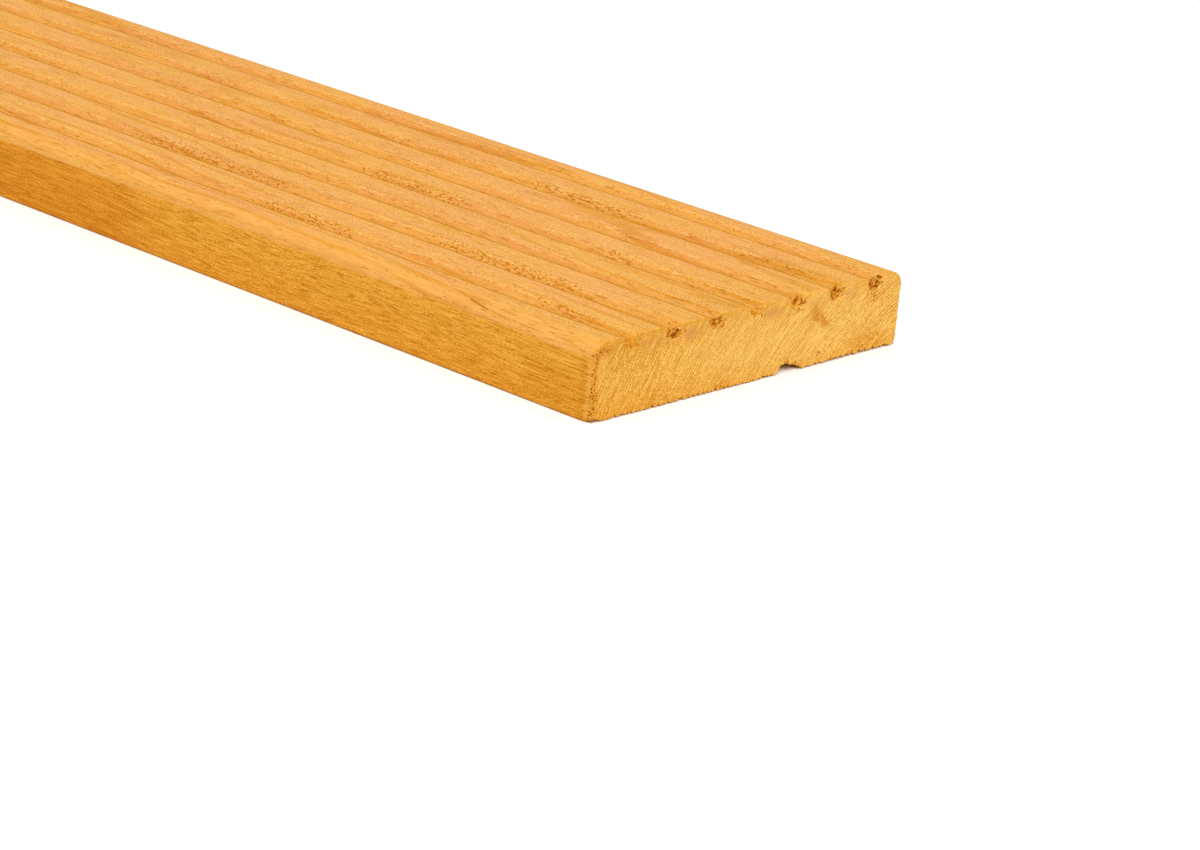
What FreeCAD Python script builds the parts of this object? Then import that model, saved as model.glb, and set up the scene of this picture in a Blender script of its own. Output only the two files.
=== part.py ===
import FreeCAD, Part
import os
import Sketcher
from FreeCAD import Vector

# One hardwood decking board, machined from a single length of timber.
# X runs along the board, Y across it and Z up through its thickness.
# The origin is the middle of the smooth back, which lies on the joists.
# The wearing face on top has parallel grooves, centred across it, with equal lands between them.
# All lengths are in millimetres.

DIMENSIONS = [
    ("board_length", 1850, "along the grain"),
    ("board_width", 145, "across the lands and grooves"),
    ("board_thickness", 25, "from the back to the top of the lands"),
    ("least_edge_land", 8, "left at least between an outer groove and the board's edge"),
    ("groove_pitch", 19.3, "middle of one groove to the middle of the next"),
    ("groove_width", 7, "across the mouth of a groove"),
    ("groove_depth", 3.5, "from the lands to the bottom of a groove"),
    ("groove_bottom_radius", 2, "of the round bottom between the sloping walls"),
    ("land_edge_radius", 1, "where a groove wall meets a land"),
    ("face_arris_radius", 5, "on the two long edges of the wearing face"),
    ("back_arris_radius", 1, "on the two long edges of the back"),
]
SHEET = "dimensions"
BOARD = "decking_board"
CLOSE = 0.001

# As many grooves as fit across the face at their pitch, with at least the least land left at each edge.
GROOVE_COUNT = (
    f"(floor(({SHEET}.board_width - 2 * {SHEET}.least_edge_land - {SHEET}.groove_width)"
    f" / {SHEET}.groove_pitch) + 1)"
)


def add_dimensions(doc):
    """The sheet of driving dimensions, one row for each, with its alias in column B."""
    sheet = doc.addObject("Spreadsheet::Sheet", SHEET)
    for row, (alias, value, meaning) in enumerate(DIMENSIONS, start=1):
        sheet.set(f"A{row}", alias)
        sheet.set(f"B{row}", str(value))
        sheet.set(f"C{row}", meaning)
        sheet.setAlias(f"B{row}", alias)
    doc.recompute()
    return sheet


def origin_plane(body, role):
    """The body's own origin plane or axis that has this role."""
    return next(f for f in body.Origin.OriginFeatures if f.Role == role)


def add_cross_section(body, name):
    """A sketch across the board: its horizontal is Y, its vertical Z, and it passes through mid-length."""
    sketch = body.newObject("Sketcher::SketchObject", name)
    sketch.AttachmentSupport = [(origin_plane(body, "YZ_Plane"), "")]
    sketch.MapMode = "FlatFace"
    return sketch


def dimension(sketch, kind, *geometry, name, start, formula):
    """A sketch dimension with a name of its own, driven by a formula over the sheet."""
    index = sketch.addConstraint(Sketcher.Constraint(kind, *geometry, start))
    sketch.renameConstraint(index, name)
    sketch.setExpression(f"Constraints.{name}", formula)


def join_ends(sketch, lines):
    """Joins each line's end to the next line's start, all the way round."""
    for line, following in zip(lines, lines[1:] + lines[:1]):
        sketch.addConstraint(Sketcher.Constraint("Coincident", line, 2, following, 1))


def draw_blank(sketch, sheet):
    """The sawn blank's section: a rectangle that stands on the Y axis, centred on Z."""
    half = sheet.board_width / 2
    top = sheet.board_thickness
    corners = [Vector(-half, 0), Vector(half, 0), Vector(half, top), Vector(-half, top)]
    lines = [
        sketch.addGeometry(Part.LineSegment(a, b))
        for a, b in zip(corners, corners[1:] + corners[:1])
    ]
    bottom, right, _, left = lines
    join_ends(sketch, lines)
    for line in (right, left):
        sketch.addConstraint(Sketcher.Constraint("Vertical", line))
    sketch.addConstraint(Sketcher.Constraint("Horizontal", lines[2]))
    sketch.addConstraint(Sketcher.Constraint("Symmetric", bottom, 1, bottom, 2, -1, 1))
    dimension(sketch, "DistanceX", bottom, 1, bottom, 2,
              name="width", start=sheet.board_width, formula=f"{SHEET}.board_width")
    dimension(sketch, "DistanceY", right, 1, right, 2,
              name="thickness", start=top, formula=f"{SHEET}.board_thickness")


def draw_groove(sketch, sheet):
    """The first groove's section: sloping walls that run into a round bottom, open at the wearing face."""
    middle = sheet.least_edge_land - sheet.board_width / 2
    half = sheet.groove_width / 2
    top = sheet.board_thickness
    radius = sheet.groove_bottom_radius
    centre = Vector(middle, top - sheet.groove_depth + radius)
    left_mouth, right_mouth = Vector(middle - half, top), Vector(middle + half, top)
    left_foot, right_foot = centre - Vector(radius, 0), centre + Vector(radius, 0)
    bottom_point = centre - Vector(0, radius)

    left_wall = sketch.addGeometry(Part.LineSegment(left_mouth, left_foot))
    bottom = sketch.addGeometry(Part.Arc(left_foot, bottom_point, right_foot))
    right_wall = sketch.addGeometry(Part.LineSegment(right_foot, right_mouth))
    mouth = sketch.addGeometry(Part.LineSegment(right_mouth, left_mouth))

    for constraint in (
        Sketcher.Constraint("Tangent", left_wall, 2, bottom, 1),
        Sketcher.Constraint("Tangent", bottom, 2, right_wall, 1),
        Sketcher.Constraint("Coincident", right_wall, 2, mouth, 1),
        Sketcher.Constraint("Coincident", mouth, 2, left_wall, 1),
        Sketcher.Constraint("Horizontal", mouth),
        Sketcher.Constraint("Equal", left_wall, right_wall),
    ):
        sketch.addConstraint(constraint)
    dimension(sketch, "DistanceX", mouth, 2, mouth, 1,
              name="mouth_width", start=2 * half, formula=f"{SHEET}.groove_width")
    dimension(sketch, "DistanceY", -1, 1, mouth, 1,
              name="mouth_height", start=top, formula=f"{SHEET}.board_thickness")
    dimension(sketch, "Radius", bottom,
              name="bottom_radius", start=radius, formula=f"{SHEET}.groove_bottom_radius")
    dimension(sketch, "DistanceY", bottom, 3, mouth, 1,
              name="centre_depth", start=top - centre.y,
              formula=f"{SHEET}.groove_depth - {SHEET}.groove_bottom_radius")
    dimension(sketch, "DistanceX", bottom, 3, -1, 1,
              name="first_offset", start=-middle,
              formula=f"({GROOVE_COUNT} - 1) / 2 * {SHEET}.groove_pitch")


def add_blank(doc, body, sheet):
    """The sawn blank, the same each way from mid-length."""
    sketch = add_cross_section(body, "blank_section")
    draw_blank(sketch, sheet)
    blank = body.newObject("PartDesign::Pad", "blank")
    blank.Profile = sketch
    blank.SideType = "Symmetric"
    blank.setExpression("Length", f"{SHEET}.board_length")
    doc.recompute()
    return blank


def add_grooves(doc, body, blank, sheet):
    """The first groove, run out through both ends, then repeated across the face at the pitch."""
    sketch = add_cross_section(body, "groove_section")
    draw_groove(sketch, sheet)
    groove = body.newObject("PartDesign::Pocket", "first_groove")
    groove.Profile = sketch
    groove.Type = "ThroughAll"
    groove.SideType = "Symmetric"
    doc.recompute()

    grooves = body.newObject("PartDesign::LinearPattern", "grooves")
    grooves.Originals = [groove]
    grooves.Direction = (sketch, ["H_Axis"])
    grooves.Mode = "Spacing"
    grooves.setExpression("Offset", f"{SHEET}.groove_pitch")
    grooves.setExpression("Occurrences", GROOVE_COUNT)
    body.Tip = grooves
    doc.recompute()

    section = Part.Face(Part.Wire(sketch.Shape.Edges))
    expected = grooves.Occurrences * section.Area * sheet.board_length
    removed = blank.Shape.Volume - grooves.Shape.Volume
    if abs(removed - expected) > expected * CLOSE:
        raise RuntimeError(f"the grooves take out {removed:.0f} cubic mm, and not {expected:.0f}")
    return grooves


def long_edges(shape, height, is_outer):
    """Names of the straight edges along the board at this height: the outer pair, or all the others."""
    side = shape.BoundBox.YMax
    names = []
    for index, edge in enumerate(shape.Edges, start=1):
        box = edge.BoundBox
        along = box.XLength > CLOSE and box.YLength < CLOSE and box.ZLength < CLOSE
        outer = abs(abs(box.Center.y) - side) < CLOSE
        if along and abs(box.Center.z - height) < CLOSE and outer == is_outer:
            names.append(f"Edge{index}")
    return names


def round_edges(doc, body, base, name, edges, alias):
    """Rounds these edges of the base feature to the radius of that alias."""
    rounding = body.newObject("PartDesign::Fillet", name)
    rounding.Base = (base, edges)
    rounding.setExpression("Radius", f"{SHEET}.{alias}")
    doc.recompute()
    return rounding


def add_board(doc, sheet):
    """The whole board as one body: blank, grooves, eased land edges and rounded arrises."""
    body = doc.addObject("PartDesign::Body", BOARD)
    body.Label = BOARD
    blank = add_blank(doc, body, sheet)
    grooves = add_grooves(doc, body, blank, sheet)
    top = sheet.board_thickness
    lands = round_edges(doc, body, grooves, "land_edges",
                        long_edges(grooves.Shape, top, False), "land_edge_radius")
    face = round_edges(doc, body, lands, "face_arrises",
                       long_edges(lands.Shape, top, True), "face_arris_radius")
    round_edges(doc, body, face, "back_arrises",
                long_edges(face.Shape, 0, True), "back_arris_radius")
    return body


def check(doc, bodies):
    """Stops the build if any object failed, or if a piece isn't one sound solid."""
    for item in doc.Objects:
        if {"Invalid", "Error"} & set(item.State):
            raise RuntimeError(f"{item.Name} failed: {item.State}")
    for body in bodies:
        shape = body.Shape
        if shape.isNull() or not shape.isValid() or len(shape.Solids) != 1:
            raise RuntimeError(f"{body.Label} is not one valid solid")


def main():
    doc = FreeCAD.newDocument("decking")
    sheet = add_dimensions(doc)
    bodies = [add_board(doc, sheet)]
    doc.recompute()
    check(doc, bodies)
    os.makedirs("parts", exist_ok=True)
    for body in bodies:
        box = body.Shape.BoundBox
        print(f"{body.Label}: {box.XLength:.2f} x {box.YLength:.2f} x {box.ZLength:.2f} mm,"
              f" {body.Shape.Volume / 1e6:.4f} litres, {len(body.Shape.Faces)} faces")
        body.Shape.exportStep(f"parts/{body.Label}.step")


main()
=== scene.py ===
import math
import random

import bpy
from mathutils import Matrix, Vector, noise


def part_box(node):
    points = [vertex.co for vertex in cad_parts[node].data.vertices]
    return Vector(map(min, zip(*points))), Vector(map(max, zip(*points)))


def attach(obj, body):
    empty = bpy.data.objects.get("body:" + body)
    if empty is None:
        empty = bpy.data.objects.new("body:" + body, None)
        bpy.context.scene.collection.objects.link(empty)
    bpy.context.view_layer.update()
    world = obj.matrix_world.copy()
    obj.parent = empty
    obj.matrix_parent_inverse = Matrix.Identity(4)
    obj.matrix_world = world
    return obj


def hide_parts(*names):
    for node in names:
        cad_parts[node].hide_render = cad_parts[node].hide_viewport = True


# A hardwood decking board, dressed over its CAD solid.
# Mesh code works in millimetres in the row frame: X along the board, Y across it, Z up from its back.
# The front end is the sawn end at +X that the camera sees.

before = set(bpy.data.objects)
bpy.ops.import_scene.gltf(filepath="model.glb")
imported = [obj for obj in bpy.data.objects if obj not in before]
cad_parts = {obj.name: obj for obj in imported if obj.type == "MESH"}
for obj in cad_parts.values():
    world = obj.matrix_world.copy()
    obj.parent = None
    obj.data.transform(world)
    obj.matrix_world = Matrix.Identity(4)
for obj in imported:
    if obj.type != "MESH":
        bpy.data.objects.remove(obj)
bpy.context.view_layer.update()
NODE = "decking_board"
MM = 0.001

_, box_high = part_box(NODE)
HALF_LENGTH = box_high.x / MM
HALF_WIDTH = box_high.y / MM
THICKNESS = box_high.z / MM

# The section, as the solid has it
GROOVE_COUNT = 7
GROOVE_PITCH = 19.3
GROOVE_HALF_WIDTH = 3.5
GROOVE_DEPTH = 3.5
GROOVE_BOTTOM_RADIUS = 2.0
LAND_EDGE_RADIUS = 1.0
FACE_ARRIS_RADIUS = 5.0
BACK_ARRIS_RADIUS = 1.0

# A groove wall is the tangent from the mouth's corner to the round bottom.
BOTTOM_CENTRE_DEPTH = GROOVE_DEPTH - GROOVE_BOTTOM_RADIUS
MOUTH_TO_CENTRE = math.hypot(GROOVE_HALF_WIDTH, BOTTOM_CENTRE_DEPTH)
WALL_ANGLE = (
    math.atan2(BOTTOM_CENTRE_DEPTH, GROOVE_HALF_WIDTH)
    + math.asin(GROOVE_BOTTOM_RADIUS / MOUTH_TO_CENTRE)
)
RIM_REACH = LAND_EDGE_RADIUS * math.tan(WALL_ANGLE / 2)
RIM_LAND = GROOVE_HALF_WIDTH + RIM_REACH
RIM_WALL = GROOVE_HALF_WIDTH - RIM_REACH * math.cos(WALL_ANGLE)
WALL_FOOT = GROOVE_BOTTOM_RADIUS * math.sin(WALL_ANGLE)

# The mesh: columns across the board, rows up its ends and stations along it.
# ROW_STEPS has each band of the height as start, end and step.
# Stations are close at the ends, and stay closer along the length that the camera sees.
# Where a worn side would pass the columns next to it, they are pushed inward, a little more for each.
LAND_STEP = 0.7
WALL_STEP = 0.5
ARRIS_STEPS = 9
RIM_STEPS = 4
BOTTOM_STEPS = 3
ROW_STEPS = [(0.0, 4.0, 0.5), (4.0, 17.0, 0.93), (17.0, 25.0, 0.5)]
FIRST_STATION = 0.12
STATION_GROWTH = 1.33
SHOWN_LENGTH = 440.0
SHOWN_STATION = 10.0
LONGEST_STATION = 42.0
COLUMN_GAP = 0.02
PUSHED_COLUMNS = 4
SHARP_ANGLE = 38

# Saw damage at the ends: how deep the edges' wear and fraying go, and the piece broken out
# of the lower edge. CHIP_STEEP and CHIP_SLOPE are the widths of the chip's two flanks.
EDGE_WEAR = 0.6
FRAY_DECAY = 1.3
BACK_FRAY_DECAY = 2.6
CHIP_START = 12.8
CHIP_END = 25.2
CHIP_STEEP = 2.3
CHIP_SLOPE = 7.5
CHIP_HEIGHT = 2.75
CHIP_DEPTH = 10.0
HOLLOW_START = 39.5
HANGING_FIBRES = [-64.0, -60.5, -57.5, -55.5]

# Y and Z of the middle of the saw blade that cut the ends
SAW_CENTRE = (141.0, -116.0)

# The pits below the grooves: strength of each, half width, shift to the far side, and
# half heights above and below the groove's bottom
GROOVE_TEARS = [0.5, 1.0, 0.7, 0.45, 0.75, 0.95, 1.0]
TEAR_REACH = 3.0
TEAR_SHIFT = 1.2
TEAR_RISE = 3.8
TEAR_FALL = 1.5

# Crumbly patches on the end: middle and height, half width and half height, strength
CRUMB_PATCHES = [
    (-68.0, 22.0, 4.5, 1.8, 0.75),
    (58.5, 3.4, 13.5, 4.2, 0.55),
    (60.5, 18.0, 5.0, 2.4, 0.6),
    (56.5, 19.5, 2.5, 3.2, 0.6),
    (-13.5, 1.2, 3.5, 1.6, 0.7),
]

# The stain's middle as Y and Z, and the bruises' depth below the lands and half width and height
STAIN_MIDDLE = (32.1, 15.6)
STAIN_HALF_LENGTH = 5.4
BRUISE_DEPTH = 4.0
BRUISE_REACH = (3.6, 1.8)

# Torn grain in the grooves: groove from the near side, distance from the front end, length, strength
TORN_PATCHES = [
    (0, 31, 27, 0.8), (0, 142, 47, 1.0), (0, 253, 40, 0.4),
    (1, 72, 65, 1.0), (1, 186, 34, 0.8), (1, 224, 54, 0.9), (1, 325, 46, 0.5),
    (2, 7, 12, 0.6), (2, 117, 24, 0.4), (2, 220, 28, 0.6), (2, 404, 70, 0.7),
    (3, 59, 27, 0.7), (3, 151, 47, 1.0), (3, 239, 47, 0.5), (3, 368, 62, 0.6),
    (4, 73, 20, 0.6), (4, 169, 19, 0.6), (4, 263, 32, 0.3), (4, 440, 54, 0.5),
    (5, 27, 34, 0.7), (5, 98, 24, 0.9), (5, 120, 34, 0.9), (5, 204, 54, 0.5), (5, 296, 24, 0.7),
    (6, 18, 16, 0.6), (6, 59, 19, 0.5), (6, 143, 13, 0.5), (6, 231, 31, 0.4),
    (1, 600, 95, 0.8), (4, 700, 70, 0.9), (2, 830, 110, 0.7), (5, 950, 90, 0.9),
    (0, 1010, 70, 0.8), (3, 1150, 100, 0.8), (6, 1230, 65, 0.6), (1, 1400, 100, 0.9),
    (4, 1560, 90, 0.7), (2, 1750, 50, 0.8),
]


def clamp(value, low=0.0, high=1.0):
    return max(low, min(high, value))


def ease(value):
    """0 to 1 with level ends."""
    value = clamp(value)
    return value * value * (3 - 2 * value)


def rough(x, y=0.0, z=0.0):
    """Smooth noise, mostly between -1 and 1, the same on every run."""
    return 2.2 * noise.noise(Vector((x, y, z)))


# Section


def groove_middles():
    first = -(GROOVE_COUNT - 1) / 2 * GROOVE_PITCH
    return [first + k * GROOVE_PITCH for k in range(GROOVE_COUNT)]


def nearest_groove(y):
    """(number, distance from its middle) of the groove nearest to y."""
    middles = groove_middles()
    number = min(range(GROOVE_COUNT), key=lambda k: abs(y - middles[k]))
    return number, y - middles[number]


def groove_drop(offset):
    """How far the groove's surface lies under the lands, at this offset from its middle."""
    offset = abs(offset)
    if offset >= RIM_LAND:
        return 0.0
    if offset >= RIM_WALL:
        across = RIM_LAND - offset
        return LAND_EDGE_RADIUS - math.sqrt(LAND_EDGE_RADIUS ** 2 - across ** 2)
    if offset >= WALL_FOOT:
        return (GROOVE_HALF_WIDTH - offset) * math.tan(WALL_ANGLE)
    return BOTTOM_CENTRE_DEPTH + math.sqrt(GROOVE_BOTTOM_RADIUS ** 2 - offset ** 2)


def arris_drop(y, radius):
    """How far the rounded arris lies under the face that it runs into."""
    inside = radius - (HALF_WIDTH - abs(y))
    if inside <= 0:
        return 0.0
    return radius - math.sqrt(max(0.0, radius ** 2 - inside ** 2))


def face_height(y):
    return THICKNESS - arris_drop(y, FACE_ARRIS_RADIUS) - groove_drop(nearest_groove(y)[1])


def back_height(y):
    return arris_drop(y, BACK_ARRIS_RADIUS)


def spread(start, end, step):
    """Evenly spaced values between start and end, without either."""
    count = max(1, round((end - start) / step))
    return [start + (end - start) * k / count for k in range(1, count)]


def columns():
    """Places across the board, close together where the section curves."""
    turns = [math.pi / 2 * k / ARRIS_STEPS for k in range(ARRIS_STEPS + 1)]
    arris = [FACE_ARRIS_RADIUS * (1 - math.cos(turn)) for turn in turns]
    places = [-HALF_WIDTH + a for a in arris] + [HALF_WIDTH - a for a in arris]
    rim_steps = [RIM_WALL + (RIM_LAND - RIM_WALL) * k / RIM_STEPS for k in range(RIM_STEPS + 1)]
    wall_steps = spread(WALL_FOOT, RIM_WALL, WALL_STEP)
    bottom_steps = [WALL_FOOT * k / BOTTOM_STEPS for k in range(1, BOTTOM_STEPS + 1)]
    half_groove = bottom_steps + wall_steps + rim_steps
    land_start = -HALF_WIDTH + FACE_ARRIS_RADIUS
    for middle in groove_middles():
        places += spread(land_start, middle - RIM_LAND, LAND_STEP)
        places += [middle] + [middle + side * step for side in (-1, 1) for step in half_groove]
        land_start = middle + RIM_LAND
    places += spread(land_start, HALF_WIDTH - FACE_ARRIS_RADIUS, LAND_STEP)
    return sorted(set(round(place, 4) for place in places))


def rows():
    """Shares of the height, closer together towards the back and the face."""
    heights = [0.0]
    for start, end, step in ROW_STEPS:
        heights += spread(start, end, step) + [end]
    return [height / heights[-1] for height in heights]


def stations(end):
    """Distances from an end up to the middle of the board, short steps first."""
    places, step = [0.0], FIRST_STATION
    while places[-1] + step < HALF_LENGTH - LONGEST_STATION / 2:
        places.append(places[-1] + step)
        longest = SHOWN_STATION if end > 0 and places[-1] < SHOWN_LENGTH else LONGEST_STATION
        step = min(step * STATION_GROWTH, longest)
    return places + [HALF_LENGTH]


# Saw damage


def fray(depth):
    """Share of the tearing at the cut that is left at this depth behind it."""
    return math.exp(-depth / FRAY_DECAY)


def round_off(depth, radius):
    """How far a worn edge of this radius drops at this depth behind the cut."""
    if depth >= radius:
        return 0.0
    return radius - math.sqrt(radius ** 2 - (radius - depth) ** 2)


def chip(y, depth):
    """Height of the piece broken out of the front end's lower edge: steep, then a long slope."""
    inward = depth / CHIP_DEPTH
    if inward >= 1 or not CHIP_START < y < CHIP_END:
        return 0.0
    steep = ease((y - CHIP_START) / CHIP_STEEP)
    slope = min(1.0, (CHIP_END - y) / CHIP_SLOPE) ** 0.6
    return CHIP_HEIGHT * steep * slope * (1 - inward ** 2) * (0.97 + 0.08 * rough(y * 0.8, depth * 0.5))


def back_damage(y, depth, end):
    """How much of the back's edge the saw has torn away."""
    teeth = 1.2 * max(0.0, rough(y * 1.6, 0.7, 5 * end)) + 0.25 * abs(rough(y * 0.3, 3.1, end))
    damage = 0.1 * round_off(depth, EDGE_WEAR) + (0.3 + teeth) * math.exp(-depth / BACK_FRAY_DECAY)
    if end > 0:
        hollow = 0.6 * ease((y - HOLLOW_START) / 6) * ease((HALF_WIDTH - 1 - y) / 10) * ease(1 - depth / 5)
        corner = 0.8 * ease(1 - (HALF_WIDTH + y) / 3.5) * ease(1 - depth / 4)
        damage += chip(y, depth) + hollow * (0.8 + 0.3 * rough(y * 0.35, 8.2)) + corner
    return damage


def face_damage(y, depth, end):
    """How much of the face's edge is worn or torn away."""
    number, offset = nearest_groove(y)
    ragged = 0.2 + 0.7 * abs(rough(y * 1.1, number * 2.7, end))
    torn = GROOVE_TEARS[number] * math.exp(-(offset / 3.4) ** 2) * ragged
    teeth = 0.15 * abs(rough(y * 1.5, depth * 1.1, 9 + end))
    return 0.3 * round_off(depth, EDGE_WEAR) + (teeth + torn) * fray(depth)


def side_damage(z, depth, end):
    """How much of the side's edge is worn or torn away."""
    crumbs = 0.35 * abs(rough(z * 1.2, depth * 1.3, 3 + end)) + 0.15 * abs(rough(z * 0.4, 7.7, end))
    return 0.3 * round_off(depth, EDGE_WEAR) + crumbs * fray(depth)


def groove_tear(y, z):
    """How strongly the end is torn out below a groove, from 0 to 1."""
    number, offset = nearest_groove(y)
    below = z - (THICKNESS - GROOVE_DEPTH + 0.2)
    ragged = 1 + 0.35 * rough(y * 0.8, z * 0.8, number)
    reach = math.hypot((offset - TEAR_SHIFT) / TEAR_REACH, below / (TEAR_RISE if below > 0 else TEAR_FALL))
    return GROOVE_TEARS[number] * ease(1.4 - reach * ragged)


def cut_relief(y, z, end):
    """How far this spot of the sawn end lies behind the end of the box."""
    lean = 0.5 * z / THICKNESS
    wander = 0.10 * rough(y * 0.05, z * 0.08, 2 + end)
    grit = 0.05 * rough(y * 0.7, z * 0.7, 7 + end)
    torn = groove_tear(y, z) * (1.0 + 1.1 * rough(y * 1.2, z * 1.3, 4 + end))
    crumbs = 0.5 * crumbling(y * end, z) * max(0.0, rough(y * 1.4, z * 1.4, 11 + end))
    return 0.30 + lean + wander + grit + crumbs + max(0.0, torn)


def crumbling(y, z):
    """How crumbly the end is here: along its near edge and arris, and in a few patches."""
    inside = HALF_WIDTH + y + 0.8 * rough(z * 0.35, 4.4)
    strength = 0.9 * ease(1 - inside / 3.2)
    for middle, height, width, rise, share in CRUMB_PATCHES:
        reach = math.hypot((y - middle) / width, (z - height) / rise)
        strength = max(strength, share * ease(1.5 - 1.1 * reach))
    return strength


def stain(y, z):
    """The brown-orange smudge that slants down the front end's far half."""
    y, z = y - STAIN_MIDDLE[0], z - STAIN_MIDDLE[1]
    along = 0.8 * y - 0.6 * z
    across = 0.6 * y + 0.8 * z + 0.5 * rough(along * 0.5, 2.2)
    width = 1.7 - 0.12 * along
    return ease(1.5 - abs(across) / width) * ease(1.5 - abs(along) / STAIN_HALF_LENGTH)


def bruise(y, z):
    """Grey patches on the end, under the lands."""
    first = groove_middles()[0] - GROOVE_PITCH / 2
    number = round((y - first) / GROOVE_PITCH)
    across = (y + 1.2 - first - number * GROOVE_PITCH) / BRUISE_REACH[0]
    height = (z - THICKNESS + BRUISE_DEPTH) / BRUISE_REACH[1]
    return math.exp(-across ** 2 - height ** 2) * (0.6 + 0.5 * rough(number * 3.3, 0.5))


# Board

# What the wood's material reads at each point
MARKS = (
    "end_grain", "wearing_face", "groove", "torn", "pit", "cut_edge", "bruise", "stain", "crumbly",
)


def end_section(depth, end, places, shares):
    """The section at this depth behind an end, as a grid of (y, z) by column and row."""
    grid = []
    for y in places:
        low = back_height(y) + back_damage(y, depth, end)
        high = face_height(y) - face_damage(y, depth, end)
        grid.append([(y, low + (high - low) * share) for share in shares])
    for edge, inward in ((0, 1), (-1, -1)):
        worn = [(y + inward * side_damage(z, depth, end), z) for y, z in grid[edge]]
        grid[edge] = worn
        for step in range(1, PUSHED_COLUMNS + 1):
            column = edge + inward * step
            grid[column] = pushed_inward(grid[column], worn, inward, COLUMN_GAP * abs(column))
    return grid


def pushed_inward(points, worn, inward, gap):
    """A column's points, moved inward wherever the worn side would pass them."""
    further = max if inward > 0 else min
    return [(further(y, side + inward * gap), z) for (y, z), (side, _) in zip(points, worn)]


def ring_places(column_count, row_count):
    """(column, row) of the grid's border, once round: back, far side, face, near side."""
    last_column, last_row = column_count - 1, row_count - 1
    back = [(column, 0) for column in range(column_count)]
    far = [(last_column, row) for row in range(1, last_row)]
    face = [(column, last_row) for column in range(last_column, -1, -1)]
    near = [(0, row) for row in range(last_row - 1, 0, -1)]
    return back + far + face + near


class BoardMesh:
    """Collects the board's points, their marks and its faces."""

    def __init__(self):
        self.points = []
        self.faces = []
        self.marks = {name: [] for name in MARKS}

    def add_point(self, x, y, z, marks):
        self.points.append((x * MM, y * MM, z * MM))
        for name, values in self.marks.items():
            values.append(marks.get(name, 0.0))
        return len(self.points) - 1

    def add_end_point(self, x, y, z):
        edge = min(HALF_WIDTH - abs(y), z, THICKNESS - z)
        end = math.copysign(1, x)
        return self.add_point(x, y, z, {
            "end_grain": 1.0,
            "pit": groove_tear(y, z),
            "cut_edge": math.exp(-max(0.0, edge) / 1.1),
            "bruise": bruise(y, z),
            "stain": stain(y * end, z) if end > 0 else 0.0,
            "crumbly": crumbling(y * end, z),
        })

    def add_long_point(self, x, y, z, is_face, depth):
        marks = {"cut_edge": math.exp(-depth / 1.3)}
        marks["crumbly"] = crumbling(y * math.copysign(1, x), z) * ease(1.2 - depth / 2.5)
        if is_face:
            number, offset = nearest_groove(y)
            marks["wearing_face"] = 1.0
            # Painted shade: the groove mark darkens the face's colour deeper in each groove and in a thin
            # line along its near rim.
            near_rim_shade = 1.2 * ease(1.35 - abs(offset + RIM_LAND - 0.4) / 0.8)
            marks["groove"] = max((0.29 - 0.05 * offset) * groove_drop(offset) / GROOVE_DEPTH, near_rim_shade)
            marks["torn"] = torn_strength(x, number, offset)
            marks["pit"] = groove_tear(y, z) * ease(1.2 - depth / 5.5)
        return self.add_point(x, y, z, marks)


def torn_strength(x, number, offset):
    """Strength of the torn grain at this place on the face."""
    from_front = HALF_LENGTH - x
    strength = 0.0
    for patch_number, middle, length, patch_strength in TORN_PATCHES:
        if patch_number == number:
            along = ease(1.4 - abs(from_front - middle) / (0.62 * length))
            strength = max(strength, along * patch_strength)
    return strength * ease(1.45 - abs(offset - 2.0) / 4.6)


def add_rings(board, end, depths, places, shares):
    """A ring of points round the board at each depth behind an end. The first holds the whole end."""
    border = ring_places(len(places), len(shares))
    rings = []
    for depth in depths:
        grid = end_section(depth, end, places, shares)
        ring = {}
        if depth == 0:
            for column, points in enumerate(grid):
                for row, (y, z) in enumerate(points):
                    x = end * (HALF_LENGTH - cut_relief(y, z, end))
                    ring[column, row] = board.add_end_point(x, y, z)
        else:
            for column, row in border:
                y, z = grid[column][row]
                behind = depth + cut_relief(y, z, end) * fray(depth)
                x = end * (HALF_LENGTH - behind)
                is_face = row == len(shares) - 1
                ring[column, row] = board.add_long_point(x, y, z, is_face, depth)
        rings.append(ring)
    return rings


def close_end(board, ring, column_count, row_count, is_rear):
    """The sawn end's own faces, turned outward."""
    for column in range(column_count - 1):
        for row in range(row_count - 1):
            corners = [(column, row), (column + 1, row), (column + 1, row + 1), (column, row + 1)]
            quad = [ring[corner] for corner in corners]
            board.faces.append(tuple(reversed(quad)) if is_rear else tuple(quad))


def build_board():
    """The whole board as one closed skin, from the front end to the rear one."""
    places, shares = columns(), rows()
    board = BoardMesh()
    front = add_rings(board, 1, stations(1), places, shares)
    rear = add_rings(board, -1, stations(-1)[:-1], places, shares)
    border = ring_places(len(places), len(shares))
    sweep = front + rear[::-1]
    for ahead, behind in zip(sweep, sweep[1:]):
        for here, following in zip(border, border[1:] + border[:1]):
            board.faces.append((ahead[here], behind[here], behind[following], ahead[following]))
    close_end(board, front[0], len(places), len(shares), False)
    close_end(board, rear[0], len(places), len(shares), True)
    return make_object("board_surface", board.points, board.faces, board.marks)


def make_object(name, points, faces, marks):
    """A mesh object in the scene, with each mark kept as a value at its points."""
    mesh = bpy.data.meshes.new(name)
    mesh.from_pydata(points, [], faces)
    for mark, values in marks.items():
        mesh.attributes.new(mark, "FLOAT", "POINT").data.foreach_set("value", values)
    mesh.shade_smooth()
    mesh.set_sharp_from_angle(angle=math.radians(SHARP_ANGLE))
    mesh.update()
    piece = bpy.data.objects.new(name, mesh)
    bpy.context.scene.collection.objects.link(piece)
    return piece


# Loose fibres

# How many there are at each end, at each groove mouth at full strength, and at each hanging place
FIBRE_SEED = 7
BACK_FUZZ_COUNT = 260
SIDE_FUZZ_COUNT = 420
GROOVE_FUZZ_COUNT = 60
HANGING_COUNT = 4
SPLINTERS_PER_MM = 0.9


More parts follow.
